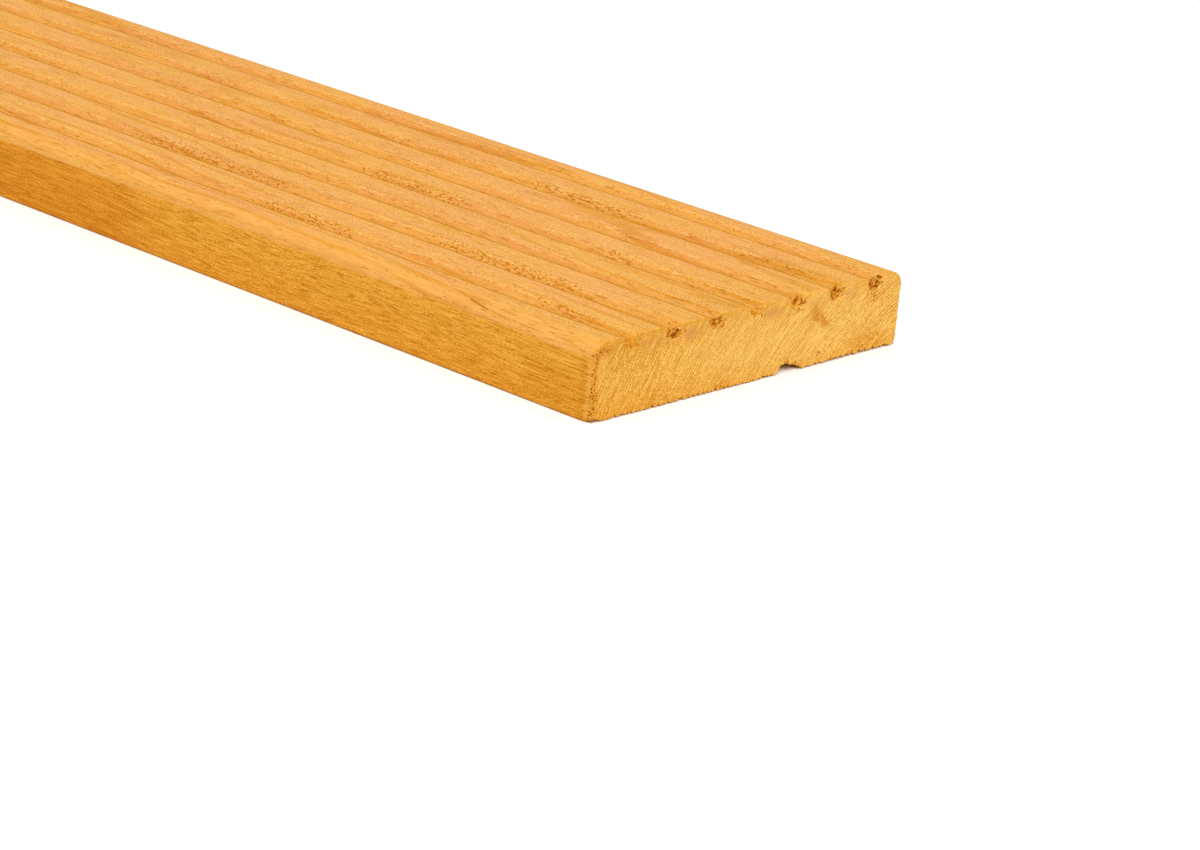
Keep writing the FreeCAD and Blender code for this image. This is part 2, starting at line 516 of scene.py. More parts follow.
class Slivers:
    """Small torn fibres, each a closed three-sided spike."""

    def __init__(self):
        self.points = []
        self.faces = []
        self.shades = []

    def add(self, root, direction, lift, length, width, shade):
        """A spike from root along direction, bent towards lift, with its root sunk into the wood."""
        across = direction.cross(lift).normalized()
        first = len(self.points)
        for along, wide, rise in ((0.0, 1.0, -0.35), (0.55, 0.8, 0.35)):
            middle = root + direction * length * along + lift * width * rise
            for turn in range(3):
                angle = math.tau * turn / 3
                side = across * math.cos(angle) + lift * math.sin(angle) * 0.6
                self.points.append((middle + side * width * wide / 2) * MM)
        self.points.append((root + (direction + lift * 0.25).normalized() * length) * MM)
        self.faces.append((first, first + 1, first + 2))
        for turn in range(3):
            following = (turn + 1) % 3
            self.faces.append((first + 3 + turn, first + 3 + following, first + following, first + turn))
            self.faces.append((first + 6, first + 3 + following, first + 3 + turn))
        self.shades += [shade] * 7


def inside_box(point, margin=0.05):
    return (
        abs(point.x) < HALF_LENGTH - margin
        and abs(point.y) < HALF_WIDTH - margin
        and margin < point.z < THICKNESS - margin
    )


def build_fibres():
    """Fuzz along the sawn edges and splinters in the torn grain."""
    dice = random.Random(FIBRE_SEED)
    slivers = Slivers()
    for end in (1, -1):
        fuzz_back_edge(slivers, dice, end)
        fuzz_side_edges(slivers, dice, end)
        fuzz_groove_mouths(slivers, dice, end)
    hang_fibres(slivers, dice)
    splinter_torn_grain(slivers, dice)
    marks = {"shade": slivers.shades}
    return make_object("torn_fibres", slivers.points, slivers.faces, marks)


def fuzz_back_edge(slivers, dice, end):
    """Short fibres along an end's lower edge, except at the chip."""
    for _ in range(BACK_FUZZ_COUNT):
        y = dice.uniform(-HALF_WIDTH + 0.6, HALF_WIDTH - 0.6)
        if CHIP_START - 1 < y < CHIP_END:
            continue
        low = back_height(y) + back_damage(y, 0.0, end)
        x = end * (HALF_LENGTH - 0.35 - dice.uniform(0.05, 0.9))
        lean = end * dice.uniform(-0.1, 0.35)
        direction = Vector((lean, end * dice.uniform(0.1, 1.0), -1)).normalized()
        width = dice.uniform(0.25, 0.5)
        length = dice.uniform(0.6, 1.3) * (low + 0.3)
        root = Vector((x, y, low + 0.45))
        keep_sliver(slivers, root, direction, Vector((end, 0, 0)), length, width, dice.uniform(0.4, 1))


def fuzz_side_edges(slivers, dice, end):
    """Crumbs up an end's near and far edges."""
    for _ in range(SIDE_FUZZ_COUNT):
        side = dice.choice((-1, 1))
        z = dice.uniform(1.0, THICKNESS - 3)
        y = side * (HALF_WIDTH - dice.uniform(0.3, 1.2))
        x = end * (HALF_LENGTH - dice.uniform(0.3, 1.6))
        outward = side * dice.uniform(0.2, 0.8)
        direction = Vector((end * 0.2, outward, dice.uniform(-1, 1))).normalized()
        keep_sliver(slivers, Vector((x, y, z)), direction, Vector((end, 0, 0)),
                    dice.uniform(0.4, 1.2), dice.uniform(0.2, 0.5), dice.random())


def fuzz_groove_mouths(slivers, dice, end):
    """Torn fibres where the grooves meet an end, more where the tear is stronger."""
    lift = Vector((end, 0, 0.3)).normalized()
    for number, middle in enumerate(groove_middles()):
        for _ in range(round(GROOVE_FUZZ_COUNT * GROOVE_TEARS[number])):
            offset = dice.gauss(0.6, 1.6)
            z = THICKNESS - groove_drop(offset) - dice.uniform(0.0, 2.2)
            x = end * (HALF_LENGTH - dice.uniform(0.7, 3.5))
            lean = end * dice.uniform(-0.1, 0.5)
            direction = Vector((lean, dice.uniform(-0.8, 0.9), dice.uniform(0.2, 1))).normalized()
            keep_sliver(slivers, Vector((x, middle + offset, z)), direction, lift,
                        dice.uniform(1.0, 3.4), dice.uniform(0.3, 0.75), dice.uniform(0.12, 1))


def hang_fibres(slivers, dice):
    """Longer fibres that hang from the front end's lower edge."""
    for middle in HANGING_FIBRES:
        for _ in range(HANGING_COUNT):
            x = HALF_LENGTH - dice.uniform(0.4, 0.9)
            y = middle + dice.uniform(-0.8, 0.8)
            root = Vector((x, y, dice.uniform(1.2, 2.0)))
            direction = Vector((0.15, dice.uniform(-0.8, 0.8), -1)).normalized()
            keep_sliver(slivers, root, direction, Vector((1, 0, 0)),
                        dice.uniform(1.0, 1.8), dice.uniform(0.3, 0.5), dice.uniform(0.6, 1))


def splinter_torn_grain(slivers, dice):
    """Splinters on the groove walls, gathered in the torn patches."""
    middles = groove_middles()
    wall = Vector((0, -math.sin(WALL_ANGLE), math.cos(WALL_ANGLE)))
    for number, from_front, length, strength in TORN_PATCHES:
        for _ in range(round(length * strength * SPLINTERS_PER_MM)):
            x = HALF_LENGTH - from_front + dice.gauss(0, 0.28) * length
            if abs(x) > HALF_LENGTH - 3:
                continue
            offset = dice.uniform(0.4, 3.4)
            root = Vector((x, middles[number] + offset, THICKNESS - groove_drop(offset)))
            direction = Vector((-1, dice.uniform(-0.25, 0.1), dice.uniform(-0.12, 0.12))).normalized()
            keep_sliver(slivers, root, direction, wall,
                        dice.uniform(0.8, 2.6), dice.uniform(0.15, 0.35), dice.uniform(0.3, 1))


def keep_sliver(slivers, root, direction, lift, length, width, shade):
    """Adds a sliver if its tip stays inside the board's box."""
    tip = root + (direction + lift * 0.3).normalized() * (length + width)
    if inside_box(root) and inside_box(tip):
        slivers.add(root, direction, lift, length, width, shade)


# Wood material


class Nodes:
    """A short way to write a material's node tree."""

    def __init__(self, name):
        self.material = bpy.data.materials.new(name)
        self.material.use_nodes = True
        self.tree = self.material.node_tree
        self.tree.nodes.clear()

    def add(self, kind, inputs=None, **settings):
        """A node with these settings. An input is a value, or another node's output to link."""
        node = self.tree.nodes.new(kind)
        for name, value in settings.items():
            setattr(node, name, value)
        for key, value in (inputs or {}).items():
            if isinstance(value, bpy.types.NodeSocket):
                self.tree.links.new(value, node.inputs[key])
            else:
                node.inputs[key].default_value = value
        return node

    def math(self, operation, first, second=0.0, clamped=False):
        node = self.add("ShaderNodeMath", {0: first, 1: second}, operation=operation, use_clamp=clamped)
        return node.outputs[0]

    def plus(self, first, second):
        return self.math("ADD", first, second)

    def minus(self, first, second):
        return self.math("SUBTRACT", first, second)

    def times(self, first, second):
        return self.math("MULTIPLY", first, second)

    def sum_of(self, *parts):
        """Noises added about their middle, each with its weight; 0.5 is the middle of the result."""
        total = 0.5
        for fac, weight in parts:
            total = self.plus(total, self.times(self.minus(fac, 0.5), weight))
        return total

    def blend(self, share, first, second):
        """One value carried over to another, by share."""
        return self.add("ShaderNodeMix", {0: share, 2: first, 3: second}).outputs[0]

    def vector(self, operation, first, second):
        return self.add("ShaderNodeVectorMath", {0: first, 1: second}, operation=operation).outputs[0]

    def fade(self, value, start, end, low=0.0, high=1.0):
        """value carried from start..end to low..high, smoothly, and held beyond both."""
        inputs = {"Value": value, "From Min": start, "From Max": end, "To Min": low, "To Max": high}
        return self.add("ShaderNodeMapRange", inputs, interpolation_type="SMOOTHSTEP").outputs[0]

    def place(self):
        """Where a point lies in the board, in millimetres."""
        return self.vector("DIVIDE", self.add("ShaderNodeTexCoord").outputs["Object"], (MM, MM, MM))

    def grain(self, place, size, detail=2.0, roughness=0.5, distortion=0.0):
        """Noise from 0 to 1 whose features have this size, in millimetres along X, Y and Z."""
        inputs = {
            "Vector": self.vector("DIVIDE", place, size),
            "Scale": 1.0,
            "Detail": detail,
            "Roughness": roughness,
            "Distortion": distortion,
        }
        return self.add("ShaderNodeTexNoise", inputs).outputs["Fac"]

    def part(self, vector, axis):
        return self.add("ShaderNodeSeparateXYZ", {0: vector}).outputs[axis]

    def stroke(self, place, start, end, width):
        """1 on a thin line drawn in the wood from start to end, 0 beyond its width."""
        start, span = Vector(start), Vector(end) - Vector(start)
        offset = self.vector("SUBTRACT", place, start)
        inputs = {0: offset, 1: span / span.length_squared}
        share = self.add("ShaderNodeVectorMath", inputs, operation="DOT_PRODUCT")
        along = self.math("ADD", share.outputs["Value"], 0.0, clamped=True)
        gap = self.vector("SUBTRACT", offset, self.scale(span, along))
        length = self.add("ShaderNodeVectorMath", {0: gap}, operation="LENGTH").outputs["Value"]
        return self.fade(length, width, 0.3 * width)

    def mark(self, name):
        return self.add("ShaderNodeAttribute", attribute_name=name).outputs["Fac"]

    def mix(self, share, first, second):
        """One colour over another, by share."""
        node = self.add("ShaderNodeMix", {0: share, 6: first, 7: second}, data_type="RGBA")
        return node.outputs[2]

    def scale(self, vector, factor):
        """A vector or colour times a factor."""
        inputs = {0: vector, "Scale": factor}
        return self.add("ShaderNodeVectorMath", inputs, operation="SCALE").outputs[0]

    def finish(self, shader):
        """The whole material, with this shader as its surface."""
        self.add("ShaderNodeOutputMaterial", {"Surface": shader.outputs[0]})
        return self.material


# Linear colours. A pair ending in DARK and LIGHT is the range of one kind of wood, and the groove pair holds
# painted shade as well.
GOLD = (0.80, 0.340, 0.020, 1)
SIDE_DARK = (0.60, 0.218, 0.003, 1)
SIDE_LIGHT = (0.93, 0.445, 0.062, 1)
AMBER_DARK = (0.55, 0.172, 0.001, 1)
AMBER_LIGHT = (0.87, 0.365, 0.038, 1)
BURR = (0.84, 0.43, 0.085, 1)
FACE_DARK = (0.71, 0.295, 0.028, 1)
FACE_LIGHT = (0.95, 0.518, 0.148, 1)
ROSE_DARK = (0.70, 0.278, 0.044, 1)
ROSE_LIGHT = (0.94, 0.490, 0.162, 1)
CUT_DARK = (0.68, 0.285, 0.016, 1)
CUT_LIGHT = (0.92, 0.517, 0.136, 1)
# The groove pair is painted shade: the grooves' walls and bottoms drawn as the light leaves them.
GROOVE_SHADE_DARK = (0.56, 0.214, 0.002, 1)
GROOVE_SHADE_LIGHT = (0.92, 0.562, 0.106, 1)
END_DARK = (0.60, 0.258, 0.020, 1)
END_LIGHT = (0.95, 0.59, 0.150, 1)
END_WARM_DARK = (0.57, 0.215, 0.008, 1)
END_WARM_LIGHT = (0.91, 0.50, 0.095, 1)
END_GREY = (0.62, 0.255, 0.068, 1)
EDGE_ORANGE = (0.72, 0.265, 0.006, 1)
EDGE_WORN = (0.74, 0.340, 0.035, 1)
STAIN_BROWN = (0.56, 0.205, 0.006, 1)
TORN_ORANGE = (0.60, 0.190, 0.001, 1)
# Dark brown of torn wood with the painted shade of its holes.
PIT_BROWN_AND_SHADE = (0.27, 0.032, 0.000, 1)
PORE_BROWN = (0.52, 0.170, 0.001, 1)
CRACK_BROWN = (0.32, 0.115, 0.002, 1)

# Dry sawn wood hardly shines.
SPECULAR = 0.06

# The grain's slow and quick wandering: size of the drift along X, Y and Z, and its reach
GRAIN_DRIFTS = [((170, 60, 60), 16), ((60, 22, 22), 4)]

# The trunk's middle lies beside and above the board, and leans along it.
PITH_ASIDE = 70
PITH_HEIGHT = 105
PITH_LEAN = 0.06
RING_WIDTH = 1.7
RING_LENGTH = 190
RING_LINE_PITCH = 4.2

# The amber stretch of the near side, from the front end, and how far it reaches under the back.
# From FIGURE_START on, amber comes and goes with the grain.
AMBER_START = 190
AMBER_END = 300
AMBER_BLEND = 25
AMBER_REACH = (8, 50)
FIGURE_START = 320
FIGURE_BLEND = 80

# The rays of the end grain run down towards the far side at this angle.
RAY_SLANT = 30

# The saw left its arcs this far apart.
SAW_MARK_PITCH = 1.2

# The end's shade that its contrast turns about, and what is left of that contrast in its middle
END_SHADE = 0.42
CALM_CONTRAST = 0.72

# Short cracks: start, end, width in millimetres, and strength
CRACKS = [
    ((871.5, -70.9, 23.7), (879.8, -71.9, 22.8), 0.50, 0.7),
    ((880.5, -71.6, 22.9), (889.0, -72.2, 22.0), 0.45, 0.3),
    ((866.0, -70.2, 24.2), (878.0, -70.9, 23.7), 0.35, 0.3),
    ((924.6, 32.0, 3.2), (924.6, 32.9, 4.5), 0.35, 0.8),
    ((924.6, 32.9, 4.5), (924.6, 34.1, 3.6), 0.35, 0.8),
]


def wood_material():
    """Planed hardwood: long grain on the faces, saw marks on the ends, and the damage over both."""
    wood = Nodes("planed_hardwood")
    place = wood.place()
    end = wood.mark("end_grain")
    grain_place = wandering_grain(wood, place)
    long_colour, long_height = long_grain(wood, place, grain_place)
    end_colour, end_height = end_grain(wood, place)
    colour = wood.mix(end, long_colour, end_colour)
    height = wood.blend(end, long_height, end_height)
    colour, height = torn_grain(wood, place, colour, height)
    colour, height = pits(wood, place, colour, height)
    colour, height = crumbled_edges(wood, place, colour, height)
    for start, finish, width, strength in CRACKS:
        crack = wood.stroke(place, start, finish, width)
        colour = wood.mix(wood.times(crack, strength), colour, CRACK_BROWN)
    bump = wood.add("ShaderNodeBump", {"Height": height, "Strength": 1.0, "Distance": MM})
    roughness = wood.fade(wood.grain(place, (30, 3, 3), 3.0), 0.3, 0.7, 0.58, 0.70)
    return wood.finish(wood.add("ShaderNodeBsdfPrincipled", {
        "Base Color": colour,
        "Roughness": roughness,
        "Specular IOR Level": SPECULAR,
        "Normal": bump.outputs[0],
    }))


def behind_cut(wood, place):
    """Distance behind the nearer end."""
    return wood.minus(HALF_LENGTH, wood.math("ABSOLUTE", wood.part(place, "X")))


def wandering_grain(wood, place):
    """The places with the grain's drift taken out, so that straight patterns follow the real grain."""
    for size, reach in GRAIN_DRIFTS:
        inputs = {"Vector": wood.vector("DIVIDE", place, size), "Scale": 1.0, "Detail": 1.0}
        drift = wood.add("ShaderNodeTexNoise", inputs).outputs["Color"]
        centred = wood.vector("SUBTRACT", drift, (0.5, 0.5, 0.5))
        place = wood.vector("ADD", place, wood.vector("MULTIPLY", centred, (0, reach, reach)))
    return place


def growth_rings(wood, place):
    """Uneven light and dark rings about the trunk's middle, from 0 to 1."""
    across = wood.math("DIVIDE", pith_distance(wood, place), RING_WIDTH)
    along = wood.math("DIVIDE", wood.part(place, "X"), RING_LENGTH)
    ring_place = wood.add("ShaderNodeCombineXYZ", {"X": across, "Y": along}).outputs[0]
    return wood.grain(ring_place, (1, 1, 1), 3.0, 0.6)


def pith_distance(wood, place):
    """Distance from the middle of the trunk, square to the board."""
    lean = wood.times(wood.part(place, "X"), PITH_LEAN)
    across = wood.plus(wood.part(place, "Y"), wood.minus(lean, PITH_ASIDE))
    rise = wood.minus(wood.part(place, "Z"), PITH_HEIGHT)
    return wood.math("SQRT", wood.plus(wood.times(across, across), wood.times(rise, rise)))


def ring_lines(wood, place):
    """Thin dark lines at the edges of the growth rings, here and there."""
    wobble = wood.times(wood.grain(place, (70, 9, 9), 2.0), 9.0)
    turns = wood.plus(wood.times(pith_distance(wood, place), math.tau / RING_LINE_PITCH), wobble)
    areas = wood.fade(wood.grain(place, (110, 24, 24), 1.0), 0.40, 0.60, 0.15, 1.0)
    return wood.times(wood.fade(wood.math("SINE", turns), 0.35, 1.0), areas)


def long_grain(wood, place, grain_place):
    """Colour and height of the faces that run along the grain."""
    face = wood.mark("wearing_face")
    rings = growth_rings(wood, grain_place)
    streak = wood.grain(grain_place, (26, 2.4, 2.4), 3.0, 0.6)
    fibre = wood.grain(grain_place, (13, 0.42, 0.42), 1.0, 0.5)
    dashes = wood.grain(grain_place, (10, 0.7, 0.7), 1.0, 0.6)
    fuzz = wood.grain(place, (0.9, 0.5, 0.5), 1.0, 0.5)
    lines = ring_lines(wood, grain_place)

    planed = wood.sum_of((rings, 0.20), (streak, 0.25), (fibre, 1.8), (fuzz, 1.6))
    arris = wood.fade(wood.math("ABSOLUTE", wood.part(place, "Y")), HALF_WIDTH - 8, HALF_WIDTH - 4)
    smooth = wood.math("MAXIMUM", arris, wood.fade(wood.mark("groove"), 0.0, 0.05))
    machined = wood.sum_of((rings, 0.28), (streak, 0.24), (dashes, wood.blend(smooth, 1.1, 0.8)))
    machined = wood.plus(machined, wood.times(wood.minus(fuzz, 0.5), wood.blend(smooth, 2.6, 0.7)))
    machined = wood.minus(machined, wood.times(lines, 0.36))
    plain = planed_colour(wood, place, grain_place, planed)
    grooved = machined_colour(wood, place, grain_place, machined)
    colour = wood.mix(face, plain, grooved)

    pores = open_pores(wood, grain_place)
    colour = wood.mix(wood.times(pores, wood.blend(face, 0.7, 0.5)), colour, PORE_BROWN)
    height = wood.times(fibre, wood.blend(face, 0.08, 0.0))
    height = wood.plus(height, wood.times(fuzz, wood.blend(smooth, 0.05, 0.02)))
    height = wood.minus(height, wood.times(pores, 0.08))
    return colour, height


def planed_colour(wood, place, grain_place, shade):
    """The smooth sides and back: deep gold with amber stretches, with painted shade that darkens them
    towards the back.
    """
    rise = wood.part(place, "Z")
    depth = behind_cut(wood, place)
    # Painted shade: darker towards the back, lighter towards the face.
    shade = wood.plus(shade, wood.fade(rise, 1.0, 22.0, -0.12, 0.02))
    dull_band = wood.times(wood.fade(depth, 3.0, 4.5), wood.fade(depth, 7.0, 5.0, 0.0, 0.16))
    shade = wood.minus(shade, dull_band)
    gold = wood.mix(shade, SIDE_DARK, SIDE_LIGHT)
    amber = wood.mix(shade, AMBER_DARK, AMBER_LIGHT)
    figure = wood.fade(wood.grain(grain_place, (150, 26, 26), 3.0, 0.55), 0.46, 0.62)
    figure_start = HALF_LENGTH - FIGURE_START
    beyond = wood.fade(wood.part(place, "X"), figure_start, figure_start - FIGURE_BLEND)
    share = wood.math("MAXIMUM", wood.times(figure, beyond), amber_stretch(wood, place))
    colour = wood.mix(share, gold, amber)
    waver = wood.minus(wood.grain(place, (3, 1.2, 1.2), 2.0), 0.5)
    ragged = wood.plus(depth, wood.times(waver, 3.0))
    burr = wood.times(wood.fade(ragged, 3.6, 2.6), wood.fade(rise, 0.6, 2.0))
    return wood.mix(wood.times(burr, 0.6), colour, BURR)


def amber_stretch(wood, place):
    """1 on the amber stretch of the near side, fading out at both its ends and under the back."""
    along = wood.part(place, "X")
    start, end = HALF_LENGTH - AMBER_START, HALF_LENGTH - AMBER_END
    begun = wood.fade(along, start, start - AMBER_BLEND)
    lasting = wood.fade(along, end, end + AMBER_BLEND)
    full, none = (reach - HALF_WIDTH for reach in AMBER_REACH)
    near = wood.fade(wood.part(place, "Y"), full, none, 1.0, 0.0)
    return wood.times(wood.times(begun, lasting), near)


def machined_colour(wood, place, grain_place, shade):
    """The grooved face: paler gold and rose, more golden just behind the cuts, golden with painted shade in
    the grooves, and darker with painted shade over the rounded arrises.
    """
    groove = wood.mark("groove")
    # Painted shade: the groove mark darkens the colour in the grooves.
    shade = wood.minus(shade, wood.times(groove, 0.62))
    figure = wood.fade(wood.grain(grain_place, (60, 7, 20), 3.0, 0.6), 0.42, 0.58, 0.0, 0.9)
    colour = wood.mix(figure, wood.mix(shade, FACE_DARK, FACE_LIGHT), wood.mix(shade, ROSE_DARK, ROSE_LIGHT))
    near_cut = wood.fade(behind_cut(wood, place), 40, 2, 0.0, 0.75)
    colour = wood.mix(near_cut, colour, wood.mix(shade, CUT_DARK, CUT_LIGHT))
    # Painted shade: the rounded arrises are drawn darker than the lands.
    across = wood.math("ABSOLUTE", wood.part(place, "Y"))
    arris = wood.fade(across, HALF_WIDTH - 6, HALF_WIDTH - 3, 0.0, 0.6)
    colour = wood.mix(arris, colour, wood.mix(wood.minus(shade, 0.16), FACE_DARK, FACE_LIGHT))
    # Painted shade: the grooves take the darker groove colours.
    groove_shade = wood.fade(groove, 0.0, 0.28, 0.0, 0.9)
    return wood.mix(groove_shade, colour, wood.mix(shade, GROOVE_SHADE_DARK, GROOVE_SHADE_LIGHT))


def open_pores(wood, grain_place):
    """Short dark pores, 1 where one is open, gathered in some areas."""
    pore_noise = wood.grain(grain_place, (5.0, 0.55, 0.55), 2.0, 0.5)
    areas = wood.fade(wood.grain(grain_place, (60, 9, 9), 2.0), 0.35, 0.7, 0.03, -0.03)
    return wood.fade(wood.plus(pore_noise, areas), 0.39, 0.31)


def end_grain(wood, place):
    """Colour and height of the sawn ends: arcs left by the saw across short grain."""
    saw_place = saw_arcs(wood, place)
    sweep = wood.grain(place, (26, 10, 8), 1.0)
    marked = wood.fade(sweep, 0.34, 0.54, 0.65, 1.0)
    teeth = saw_teeth(wood, place, saw_place)
    scratch = wood.grain(saw_place, (0.40, 18, 40), 1.0, 0.5)
    cloud = wood.grain(place, (40, 12, 8), 2.0, 0.5)
    rays = wood.grain(slanted(wood, place), (30, 3.0, 0.45), 1.0, 0.5)
    speck = wood.grain(place, (1.5, 0.38, 0.34), 0.0, 0.5)
    drag = wood.grain(saw_place, (0.55, 3.2, 40), 1.0, 0.5)

    marks = (scratch, wood.times(marked, 1.1))
    shade = wood.sum_of((cloud, -0.10), (speck, 1.8), (drag, 1.1), (rays, 0.35), marks)
    shade = wood.minus(shade, wood.times(wood.times(teeth, marked), 0.38))
    shade = shade_over_end(wood, place, shade)
    cool = wood.mix(shade, END_DARK, END_LIGHT)
    warm = wood.mix(shade, END_WARM_DARK, END_WARM_LIGHT)
    colour = wood.mix(end_warmth(wood, place, cloud), cool, warm)
    colour = wood.mix(wood.times(wood.mark("bruise"), 0.75), colour, END_GREY)
    blotch = wood.fade(wood.grain(slanted(wood, place), (30, 1.5, 0.6), 3.0, 0.7), 0.34, 0.52)
    colour = wood.mix(wood.times(wood.times(wood.mark("stain"), blotch), 0.9), colour, STAIN_BROWN)

    height = wood.times(wood.times(scratch, marked), 0.10)
    height = wood.minus(height, wood.times(wood.times(teeth, marked), 0.07))
    return colour, wood.plus(height, wood.times(speck, 0.10))


def shade_over_end(wood, place, shade):
    """The end's shade, calmer in its middle, lighter to the far side and darker along its long edges."""
    across, rise = wood.part(place, "Y"), wood.part(place, "Z")
    middle = wood.times(wood.fade(across, -45.0, -15.0), wood.fade(across, 50.0, 25.0))
    contrast = wood.blend(middle, 1.0, CALM_CONTRAST)
    shade = wood.plus(wood.times(wood.minus(shade, END_SHADE), contrast), END_SHADE)
    shade = wood.plus(shade, wood.fade(across, -72.0, 5.0, -0.06, 0.08))
    low = wood.fade(across, -40.0, 10.0, -0.10, -0.02)
    shade = wood.plus(shade, wood.times(wood.fade(rise, 10.0, 1.0), low))
    high = wood.fade(across, -5.0, 25.0, -0.13, -0.04)
    return wood.plus(shade, wood.times(wood.fade(rise, 16.0, 23.0), high))


def slanted(wood, place):
    """Places on an end turned so that Y follows the rays."""
    inputs = {"Vector": place, "Angle": math.radians(RAY_SLANT)}
    return wood.add("ShaderNodeVectorRotate", inputs, rotation_type="X_AXIS").outputs[0]


def saw_teeth(wood, place, saw_place):
    """Thin arcs at the pitch of the saw's feed, 1 at the middle of each."""
    wobble = wood.times(wood.grain(place, (20, 14, 14), 1.0), 1.8)
    turns = wood.times(wood.plus(wood.part(saw_place, "X"), wobble), math.tau / SAW_MARK_PITCH)
    broken = wood.fade(wood.grain(saw_place, (1.3, 22, 40), 0.0), 0.30, 0.60)
    return wood.times(wood.fade(wood.math("SINE", turns), -0.2, 0.9), broken)


def saw_arcs(wood, place):
    """Places on an end by distance from the saw's middle, then along both diagonals of the end."""
    side = wood.math("SIGN", wood.part(place, "X"))
    across = wood.minus(wood.times(wood.part(place, "Y"), side), SAW_CENTRE[0])
    rise = wood.minus(wood.part(place, "Z"), SAW_CENTRE[1])
    radius = wood.math("SQRT", wood.plus(wood.times(across, across), wood.times(rise, rise)))
    upward = wood.times(wood.plus(rise, across), math.sqrt(0.5))
    downward = wood.times(wood.minus(rise, across), -math.sqrt(0.5))
    arcs = wood.add("ShaderNodeCombineXYZ", {"X": radius, "Y": upward, "Z": downward})
    return arcs.outputs[0]


def end_warmth(wood, place, cloud):
    """How orange the end is: most towards the near lower corner and along the edges."""
    near = wood.fade(wood.part(place, "Y"), -72.0, 12.0, 0.55, 0.0)
    low = wood.times(wood.fade(wood.part(place, "Z"), 1.0, 12.0, 0.35, 0.0), wood.plus(near, 0.5))
    edge = wood.times(wood.mark("cut_edge"), 0.6)
    warm = wood.plus(wood.plus(low, near), edge)
    return wood.math("ADD", warm, wood.fade(cloud, 0.35, 0.65, -0.08, 0.08), clamped=True)


def torn_grain(wood, place, colour, height):
    """Orange-brown specks where the cutters tore the grain of the grooves."""
    torn = wood.mark("torn")
    specks = wood.grain(place, (1.5, 0.7, 0.7), 1.0, 0.6)
    limit = wood.fade(torn, 0.0, 1.0, 0.22, 0.455)
    share = wood.fade(wood.minus(limit, specks), 0.0, 0.09, 0.0, 0.9)
    strength = wood.fade(torn, 0.1, 0.5)
    colour = wood.mix(wood.times(share, strength), colour, TORN_ORANGE)
    depth = wood.times(wood.times(share, strength), 0.12)
    lift = wood.times(wood.times(specks, strength), 0.05)
    return colour, wood.plus(wood.minus(height, depth), lift)


def pits(wood, place, colour, height):
    """Brown shreds and an orange tint where the saw tore the grain out below the grooves, with the holes
    among the shreds drawn dark as painted shade.
    """
    pit = wood.mark("pit")
    shreds = wood.grain(slanted(wood, place), (2.8, 1.1, 2.8), 1.0, 0.5, 1.4)
    share = wood.fade(wood.minus(wood.fade(pit, 0.0, 0.9, 0.34, 0.50), shreds), 0.0, 0.08)
    strength = wood.fade(pit, 0.0, 0.25)
    torn = wood.fade(wood.grain(slanted(wood, place), (1.8, 0.8, 1.8), 1.0), 0.40, 0.60, 0.75, 0.15)
    colour = wood.mix(wood.times(wood.fade(pit, 0.05, 0.8), torn), colour, EDGE_ORANGE)
    # Painted shade: the holes among the shreds are drawn dark brown.
    share = wood.times(share, strength)
    colour = wood.mix(share, colour, wood.mix(wood.fade(pit, 0.3, 0.85), TORN_ORANGE, PIT_BROWN_AND_SHADE))
    return colour, wood.minus(height, wood.times(share, 0.30))


def crumbled_edges(wood, place, colour, height):
    """Orange crumbs and holes drawn dark as painted shade along the sawn edges, which are worn to a deeper
    gold.
    """
    crumbly = wood.mark("crumbly")
    crumbs = wood.grain(place, (0.9, 0.6, 0.55), 1.0, 0.6)
    share = wood.fade(wood.minus(wood.fade(crumbly, 0.0, 1.0, 0.24, 0.46), crumbs), 0.0, 0.06)
    colour = wood.mix(wood.times(wood.mark("cut_edge"), 0.35), colour, EDGE_WORN)
    colour = wood.mix(wood.times(wood.fade(crumbly, 0.0, 0.7), 0.35), colour, EDGE_ORANGE)
    # Painted shade: the holes between the crumbs are drawn dark brown.
    colour = wood.mix(share, colour, wood.mix(wood.fade(crumbs, 0.33, 0.41), PIT_BROWN_AND_SHADE, TORN_ORANGE))
    return colour, wood.minus(height, wood.times(share, 0.2))


def fibre_material():
    """Loose fibres: the wood's own colour, lighter on some, burnt orange on others, and on the darkest a
    dark brown as painted shade of the gaps between them.
    """
    fibre = Nodes("torn_fibre")
    shade = fibre.mark("shade")
    # Painted shade: the darkest fibres take the dark brown of the holes.
    colour = fibre.mix(fibre.fade(shade, 0.0, 0.3), PIT_BROWN_AND_SHADE, TORN_ORANGE)
    colour = fibre.mix(fibre.fade(shade, 0.3, 0.5), colour, GOLD)
    colour = fibre.mix(fibre.fade(shade, 0.5, 1.0), colour, FACE_LIGHT)
    mottle = fibre.grain(fibre.place(), (1.2, 0.4, 0.4), 2.0)
    colour = fibre.scale(colour, fibre.fade(mottle, 0.3, 0.7, 0.8, 1.08))
    return fibre.finish(fibre.add("ShaderNodeBsdfPrincipled", {
        "Base Color": colour,
        "Roughness": 0.7,
        "Specular IOR Level": SPECULAR,
    }))


# Studio

# Azimuths turn from -Y towards +X, so a camera at azimuth 0 looks along +Y.
FLOOR_SIZE = 30.0
FLOOR_GREY = (0.8, 0.8, 0.8, 1)
FLOOR_WHITE = (1.0, 1.0, 1.0, 1)
WORLD_WHITE = (1, 1, 1, 1)
WORLD_STRENGTH = 0.56
KEY_AZIMUTH = 56
KEY_ELEVATION = 48
KEY_DISTANCE = 9.0
KEY_SIZE = 6.0
KEY_POWER = 720

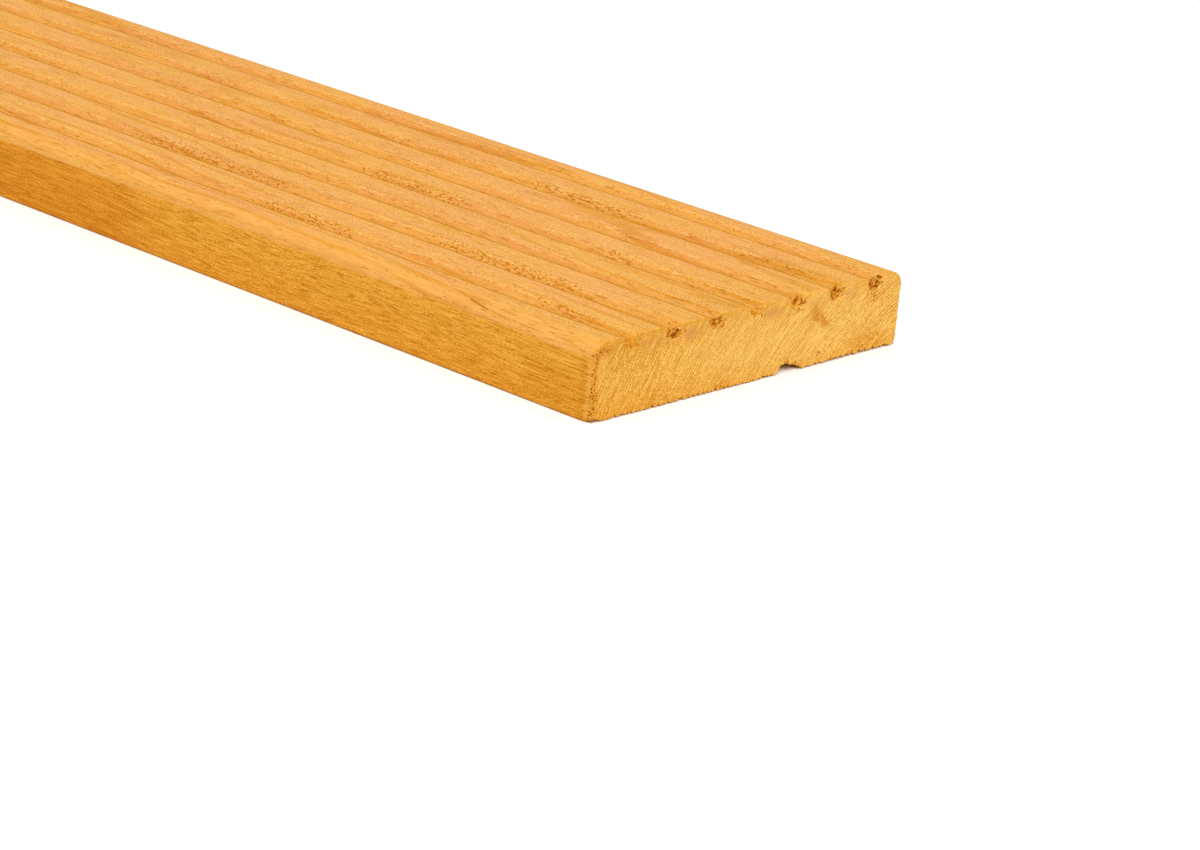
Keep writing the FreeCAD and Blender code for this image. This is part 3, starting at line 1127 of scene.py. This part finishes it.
# The camera, fitted to the board's edges in the photograph
CAMERA_AIM = Vector((0.92694, -0.07068, 0.00033))
CAMERA_AZIMUTH = 40.56
CAMERA_ELEVATION = 18.73
CAMERA_ROLL = 5.75
CAMERA_DISTANCE = 1.0402
CAMERA_LENS = 107.03


def direction_to(azimuth, elevation):
    """The direction in which something at this azimuth and elevation is seen from the board."""
    turn, rise = math.radians(azimuth), math.radians(elevation)
    level = math.cos(rise)
    return Vector((math.sin(turn) * level, -math.cos(turn) * level, math.sin(rise)))


def make_floor():
    """A pale floor, plain white to the camera and light grey to the light that it throws back."""
    half = FLOOR_SIZE / 2
    corners = [(-half, -half, 0), (half, -half, 0), (half, half, 0), (-half, half, 0)]
    floor = make_object("studio_floor", corners, [(0, 1, 2, 3)], {})
    paper = Nodes("studio_paper")
    ray = paper.add("ShaderNodeLightPath").outputs
    seen = paper.math("MAXIMUM", ray["Is Camera Ray"], ray["Is Glossy Ray"])
    seen = paper.math("MAXIMUM", seen, ray["Is Transmission Ray"])
    colour = paper.mix(seen, FLOOR_GREY, FLOOR_WHITE)
    floor.data.materials.append(paper.finish(paper.add("ShaderNodeBsdfDiffuse", {"Color": colour})))


def make_world():
    """Even white light from all round."""
    world = bpy.data.worlds.new("studio")
    world.use_nodes = True
    background = world.node_tree.nodes["Background"]
    background.inputs["Color"].default_value = WORLD_WHITE
    background.inputs["Strength"].default_value = WORLD_STRENGTH
    bpy.context.scene.world = world


def add_key_light():
    """One large square lamp, above the camera and a little to its right."""
    towards = direction_to(KEY_AZIMUTH, KEY_ELEVATION)
    light = bpy.data.lights.new("key_light", "AREA")
    light.shape = "SQUARE"
    light.size = KEY_SIZE
    light.energy = KEY_POWER
    lamp = bpy.data.objects.new("key_light", light)
    lamp.location = CAMERA_AIM + towards * KEY_DISTANCE
    lamp.rotation_euler = towards.to_track_quat("Z", "Y").to_euler()
    bpy.context.scene.collection.objects.link(lamp)


def add_camera():
    """The camera at the photograph's viewing angle."""
    towards = direction_to(CAMERA_AZIMUTH, CAMERA_ELEVATION)
    camera = bpy.data.objects.new("photo_camera", bpy.data.cameras.new("photo_camera"))
    camera.data.lens = CAMERA_LENS
    look = towards.to_track_quat("Z", "Y").to_matrix().to_4x4()
    roll = Matrix.Rotation(math.radians(CAMERA_ROLL), 4, "Z")
    camera.matrix_world = Matrix.Translation(CAMERA_AIM + towards * CAMERA_DISTANCE) @ look @ roll
    bpy.context.scene.collection.objects.link(camera)
    bpy.context.scene.camera = camera


def dress(piece, material):
    """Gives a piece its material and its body."""
    piece.data.materials.append(material)
    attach(piece, "root")


def main():
    board = build_board()
    dress(board, wood_material())
    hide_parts(NODE)
    dress(build_fibres(), fibre_material())

    make_floor()
    make_world()
    add_key_light()
    add_camera()
    bpy.context.scene.view_settings.view_transform = "Standard"


main()
